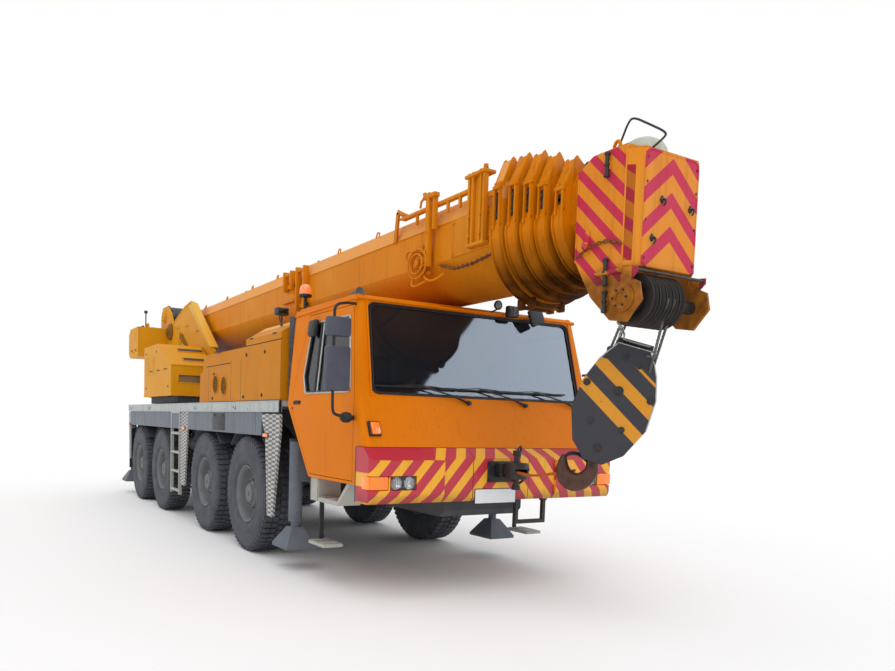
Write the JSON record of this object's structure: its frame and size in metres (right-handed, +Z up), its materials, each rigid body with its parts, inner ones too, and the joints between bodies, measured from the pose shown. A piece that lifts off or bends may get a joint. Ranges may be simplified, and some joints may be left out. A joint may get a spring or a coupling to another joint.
{
  "type": "four-axle all-terrain mobile crane",
  "caption": "Mobile crane on a wheeled carrier, with driver's cab, outriggers, slewing superstructure, luffing cylinder, telescopic boom, winch and hook block.",
  "frame": {"origin": "on the ground under the middle of the crane's overall length, on its middle plane", "axes": "+X forward along the boom in its travel position, +Y to the left, +Z up"},
  "size_m": [12.36, 3.5, 3.7798],
  "materials": {
    "orange_paint": "gloss",
    "yellow_paint": "gloss",
    "grey_paint": "satin",
    "deck_silver": "chequered",
    "tyre_rubber": "matt",
    "dark_steel": "satin",
    "machined_steel": "bright",
    "black_plastic": "matt",
    "tinted_glass": "tinted",
    "lamp_plastic": "clear",
    "trim_fabric": "woven"
  },
  "bodies": {
    "wheel_1_right": {"wheel_1_right": "tyre_rubber"},
    "knuckle_1_right": {"knuckle_1_right": "dark_steel"},
    "wheel_1_left": {"wheel_1_left": "tyre_rubber"},
    "knuckle_1_left": {"knuckle_1_left": "dark_steel"},
    "wheel_2_right": {"wheel_2_right": "tyre_rubber"},
    "knuckle_2_right": {"knuckle_2_right": "dark_steel"},
    "wheel_2_left": {"wheel_2_left": "tyre_rubber"},
    "knuckle_2_left": {"knuckle_2_left": "dark_steel"},
    "wheel_3_right": {"wheel_3_right": "tyre_rubber"},
    "wheel_3_left": {"wheel_3_left": "tyre_rubber"},
    "wheel_4_right": {"wheel_4_right": "tyre_rubber"},
    "wheel_4_left": {"wheel_4_left": "tyre_rubber"},
    "cab_door_right": {"cab_door_right": "orange_paint", "door_glass_right": "tinted_glass"},
    "cab_door_left": {"cab_door_left": "orange_paint", "door_glass_left": "tinted_glass"},
    "outrigger_beam_front_right": {"outrigger_beam_front_right": "grey_paint"},
    "jack_leg_front_right": {"jack_leg_front_right": "machined_steel"},
    "outrigger_beam_front_left": {"outrigger_beam_front_left": "grey_paint"},
    "jack_leg_front_left": {"jack_leg_front_left": "machined_steel"},
    "outrigger_beam_rear_right": {"outrigger_beam_rear_right": "grey_paint"},
    "jack_leg_rear_right": {"jack_leg_rear_right": "machined_steel"},
    "outrigger_beam_rear_left": {"outrigger_beam_rear_left": "grey_paint"},
    "jack_leg_rear_left": {"jack_leg_rear_left": "machined_steel"},
    "superstructure": {"turntable": "yellow_paint", "power_house": "yellow_paint", "counterweight": "yellow_paint", "crane_cab": "yellow_paint"},
    "crane_cab_door": {"crane_cab_door": "yellow_paint"},
    "winch_drum": {"winch_drum": "dark_steel"},
    "luff_barrel": {"luff_barrel": "yellow_paint"},
    "luff_rod": {"luff_rod": "machined_steel"},
    "boom_base": {"boom_base": "yellow_paint"},
    "boom_section_1": {"boom_section_1": "yellow_paint"},
    "boom_section_2": {"boom_section_2": "yellow_paint"},
    "boom_section_3": {"boom_section_3": "yellow_paint"},
    "boom_section_4": {"boom_section_4": "yellow_paint"},
    "boom_section_5": {"boom_section_5": "yellow_paint", "boom_head": "yellow_paint"},
    "head_sheaves": {"head_sheaves": "dark_steel"},
    "hook_block": {"hook_block": "dark_steel"},
    "hook": {"hook": "dark_steel"},
    "carrier": {"access_ladders": "deck_silver", "axle_beams": "dark_steel", "cab_interior": "trim_fabric", "cab_shell": "orange_paint", "chassis_frame": "grey_paint", "deck": "grey_paint", "engine_block": "dark_steel", "engine_hood": "orange_paint", "exhaust_stack": "dark_steel", "front_bumper": "orange_paint", "lamps": "lamp_plastic", "mirrors": "black_plastic", "outrigger_boxes": "grey_paint", "slew_ring": "dark_steel", "towing_jaw": "dark_steel", "windscreen": "tinted_glass"}
  },
  "joints": [
    {"name": "steer_1_right", "type": "hinge", "parent": "carrier", "child": "knuckle_1_right", "pos_m": [1.375, -0.925, 0.668], "axis": [0, 0, 1], "range_deg": [-33, 33]},
    {"name": "roll_1_right", "type": "hinge", "parent": "knuckle_1_right", "child": "wheel_1_right", "pos_m": [1.375, -1.1875, 0.668], "axis": [0, 1, 0], "continuous": true},
    {"name": "steer_1_left", "type": "hinge", "parent": "carrier", "child": "knuckle_1_left", "pos_m": [1.375, 0.925, 0.668], "axis": [0, 0, 1], "range_deg": [-33, 33]},
    {"name": "roll_1_left", "type": "hinge", "parent": "knuckle_1_left", "child": "wheel_1_left", "pos_m": [1.375, 1.1875, 0.668], "axis": [0, 1, 0], "continuous": true},
    {"name": "steer_2_right", "type": "hinge", "parent": "carrier", "child": "knuckle_2_right", "pos_m": [-0.275, -0.925, 0.668], "axis": [0, 0, 1], "range_deg": [-24, 24]},
    {"name": "roll_2_right", "type": "hinge", "parent": "knuckle_2_right", "child": "wheel_2_right", "pos_m": [-0.275, -1.1875, 0.668], "axis": [0, 1, 0], "continuous": true},
    {"name": "steer_2_left", "type": "hinge", "parent": "carrier", "child": "knuckle_2_left", "pos_m": [-0.275, 0.925, 0.668], "axis": [0, 0, 1], "range_deg": [-24, 24]},
    {"name": "roll_2_left", "type": "hinge", "parent": "knuckle_2_left", "child": "wheel_2_left", "pos_m": [-0.275, 1.1875, 0.668], "axis": [0, 1, 0], "continuous": true},
    {"name": "roll_3_right", "type": "hinge", "parent": "carrier", "child": "wheel_3_right", "pos_m": [-2.715, -1.1875, 0.668], "axis": [0, 1, 0], "continuous": true},
    {"name": "roll_3_left", "type": "hinge", "parent": "carrier", "child": "wheel_3_left", "pos_m": [-2.715, 1.1875, 0.668], "axis": [0, 1, 0], "continuous": true},
    {"name": "roll_4_right", "type": "hinge", "parent": "carrier", "child": "wheel_4_right", "pos_m": [-4.365, -1.1875, 0.668], "axis": [0, 1, 0], "continuous": true},
    {"name": "roll_4_left", "type": "hinge", "parent": "carrier", "child": "wheel_4_left", "pos_m": [-4.365, 1.1875, 0.668], "axis": [0, 1, 0], "continuous": true},
    {"name": "cab_door_right_hinge", "type": "hinge", "parent": "carrier", "child": "cab_door_right", "pos_m": [4.012, -1.35, 1.35], "axis": [0, 0, 1], "range_deg": [0, 70]},
    {"name": "cab_door_left_hinge", "type": "hinge", "parent": "carrier", "child": "cab_door_left", "pos_m": [4.012, 1.35, 1.35], "axis": [0, 0, -1], "range_deg": [0, 70]},
    {"name": "outrigger_front_right", "type": "slide", "parent": "carrier", "child": "outrigger_beam_front_right", "axis": [0, -1, 0], "range_m": [0, 1.75]},
    {"name": "jack_front_right", "type": "slide", "parent": "outrigger_beam_front_right", "child": "jack_leg_front_right", "axis": [0, 0, -1], "range_m": [0, 0.4]},
    {"name": "outrigger_front_left", "type": "slide", "parent": "carrier", "child": "outrigger_beam_front_left", "axis": [0, 1, 0], "range_m": [0, 1.75]},
    {"name": "jack_front_left", "type": "slide", "parent": "outrigger_beam_front_left", "child": "jack_leg_front_left", "axis": [0, 0, -1], "range_m": [0, 0.4]},
    {"name": "outrigger_rear_right", "type": "slide", "parent": "carrier", "child": "outrigger_beam_rear_right", "axis": [0, -1, 0], "range_m": [0, 1.75]},
    {"name": "jack_rear_right", "type": "slide", "parent": "outrigger_beam_rear_right", "child": "jack_leg_rear_right", "axis": [0, 0, -1], "range_m": [0, 0.4]},
    {"name": "outrigger_rear_left", "type": "slide", "parent": "carrier", "child": "outrigger_beam_rear_left", "axis": [0, 1, 0], "range_m": [0, 1.75]},
    {"name": "jack_rear_left", "type": "slide", "parent": "outrigger_beam_rear_left", "child": "jack_leg_rear_left", "axis": [0, 0, -1], "range_m": [0, 0.4]},
    {"name": "slew", "type": "hinge", "parent": "carrier", "child": "superstructure", "pos_m": [-3.125, 0, 1.85], "axis": [0, 0, 1], "continuous": true},
    {"name": "crane_cab_door_slide", "type": "slide", "parent": "superstructure", "child": "crane_cab_door", "axis": [-1, 0, 0], "range_m": [0, 0.62]},
    {"name": "winch", "type": "hinge", "parent": "superstructure", "child": "winch_drum", "pos_m": [-5.65, 0, 3.545], "axis": [0, 1, 0], "continuous": true},
    {"name": "luff", "type": "hinge", "parent": "superstructure", "child": "boom_base", "pos_m": [-4.525, 0, 2.95], "axis": [0, -1, 0], "range_deg": [0, 82]},
    {"name": "luff_cylinder_foot", "type": "hinge", "parent": "superstructure", "child": "luff_barrel", "pos_m": [-3.525, 0, 2.07], "axis": [0, -1, 0], "range_deg": [0, 81.21]},
    {"name": "luff_cylinder_stroke", "type": "slide", "parent": "luff_barrel", "child": "luff_rod", "axis": [0.982, 0, 0.1888], "range_m": [0, 1.7512]},
    {"name": "telescope_1", "type": "slide", "parent": "boom_base", "child": "boom_section_1", "axis": [1, 0, 0], "range_m": [0, 7.4]},
    {"name": "telescope_2", "type": "slide", "parent": "boom_section_1", "child": "boom_section_2", "axis": [1, 0, 0], "range_m": [0, 7.4]},
    {"name": "telescope_3", "type": "slide", "parent": "boom_section_2", "child": "boom_section_3", "axis": [1, 0, 0], "range_m": [0, 7.4]},
    {"name": "telescope_4", "type": "slide", "parent": "boom_section_3", "child": "boom_section_4", "axis": [1, 0, 0], "range_m": [0, 7.4]},
    {"name": "telescope_5", "type": "slide", "parent": "boom_section_4", "child": "boom_section_5", "axis": [1, 0, 0], "range_m": [0, 7.4]},
    {"name": "head_sheaves_turn", "type": "hinge", "parent": "boom_section_5", "child": "head_sheaves", "pos_m": [5.955, 0, 2.425], "axis": [0, 1, 0], "continuous": true},
    {"name": "hook_block_swing", "type": "hinge", "parent": "boom_section_5", "child": "hook_block", "pos_m": [5.955, 0, 2.425], "axis": [0, -1, 0], "range_deg": [-6, 26]},
    {"name": "hook_swivel", "type": "hinge", "parent": "hook_block", "child": "hook", "pos_m": [5.50787, -0.07899, 1.31707], "axis": [-0.224, -0.1879, -0.9563], "continuous": true}
  ],
  "couplings": [
    {"joint": "steer_1_left", "follows": "steer_1_right", "ratio": 1},
    {"joint": "steer_2_right", "follows": "steer_1_right", "ratio": 0.7},
    {"joint": "steer_2_left", "follows": "steer_1_right", "ratio": 0.7},
    {"joint": "luff_cylinder_foot", "follows": "luff", "ratio": 0.98432},
    {"joint": "luff_cylinder_stroke", "follows": "luff", "m_per_rad": 1.2201}
  ]
}
